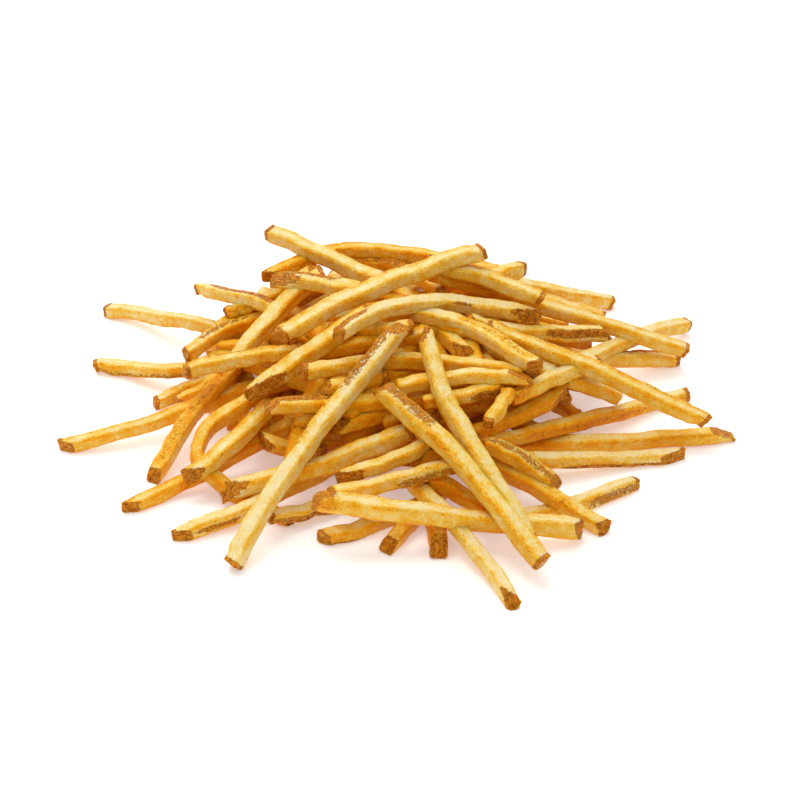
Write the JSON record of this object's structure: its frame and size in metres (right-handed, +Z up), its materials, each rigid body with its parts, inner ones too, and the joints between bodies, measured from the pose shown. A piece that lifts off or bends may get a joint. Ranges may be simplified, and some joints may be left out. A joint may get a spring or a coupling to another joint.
{
  "type": "french fries portion",
  "caption": "Loose heap of thin-cut skin-on french fries lying crossed over one another on a flat surface, long ones fanned out at its rim.",
  "frame": {"origin": "on the surface the heap lies on, under the middle of the heap", "axes": "+Z up, -Y toward the side the heap is seen from, +X to the right of that view, along the heap's longest extent"},
  "size_m": [0.2594, 0.2166, 0.0594],
  "materials": {
    "fried_potato": "satin fried potato, pale gold with browned skin at the ends"
  },
  "bodies": {
    "root": {"fries": "fried_potato"}
  },
  "joints": []
}
